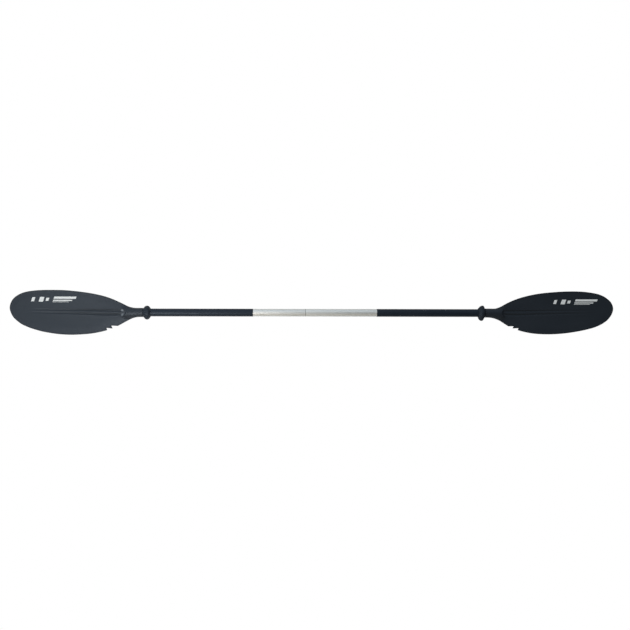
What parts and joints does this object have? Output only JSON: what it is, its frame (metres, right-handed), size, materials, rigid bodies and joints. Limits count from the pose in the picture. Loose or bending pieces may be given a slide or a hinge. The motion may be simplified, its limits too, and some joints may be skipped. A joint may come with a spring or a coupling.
{
  "type": "kayak paddle",
  "caption": "Two-piece double-bladed kayak paddle with asymmetric moulded blades, drip rings, sleeved grips and a feathering snap-button ferrule in an aluminium shaft.",
  "frame": {"origin": "on the shaft's axis at the end face of the left tube, which is the seam between the two halves", "axes": "+X along the shaft towards the right blade, +Y towards the blades' long edges, +Z out of the power faces"},
  "size_m": [2.3, 0.1655, 0.0576],
  "materials": {
    "blade_plastic": "moulded glass-filled nylon, fine grain, soft sheen",
    "ring_rubber": "smooth soft rubber",
    "grip_sleeve": "satin shrink sleeve",
    "shaft_aluminium": "satin drawn aluminium",
    "ferrule_plastic": "glass-filled nylon",
    "pin_steel": "stainless",
    "spring_steel": "stainless",
    "seal_rubber": "matte",
    "rivet_steel": "stainless",
    "plug_foam": "closed-cell foam"
  },
  "bodies": {
    "left_half": {"left_blade": "blade_plastic", "left_blade_rivets": "rivet_steel", "left_shaft_tube": "shaft_aluminium", "left_grip_sleeve": "grip_sleeve", "left_outer_plug": "plug_foam", "left_inner_plug": "plug_foam", "ferrule_tube": "ferrule_plastic", "ferrule_pins": "pin_steel"},
    "snap_button": {"snap_button_clip": "spring_steel"},
    "left_ring": {"left_drip_ring": "ring_rubber"},
    "seam_washer": {"joint_seal": "seal_rubber"},
    "right_half": {"right_blade": "blade_plastic", "right_blade_rivets": "rivet_steel", "right_shaft_tube": "shaft_aluminium", "right_grip_sleeve": "grip_sleeve", "right_outer_plug": "plug_foam", "right_inner_plug": "plug_foam"},
    "right_ring": {"right_drip_ring": "ring_rubber"}
  },
  "joints": [
    {"name": "feather_turn", "type": "hinge", "parent": "left_half", "child": "seam_washer", "pos_m": [0.0005, 0, 0], "axis": [1, 0, 0], "range_deg": [-60, 60]},
    {"name": "shaft_pull", "type": "slide", "parent": "seam_washer", "child": "right_half", "axis": [1, 0, 0], "range_m": [0, 0.13]},
    {"name": "button_press", "type": "slide", "parent": "left_half", "child": "snap_button", "axis": [0, 0, 1], "range_m": [0, 0.0045], "deforming": ["snap_button_clip"]},
    {"name": "left_ring_slide", "type": "slide", "parent": "left_half", "child": "left_ring", "axis": [1, 0, 0], "range_m": [0, 0.36]},
    {"name": "right_ring_slide", "type": "slide", "parent": "right_half", "child": "right_ring", "axis": [-1, 0, 0], "range_m": [0, 0.36]}
  ]
}
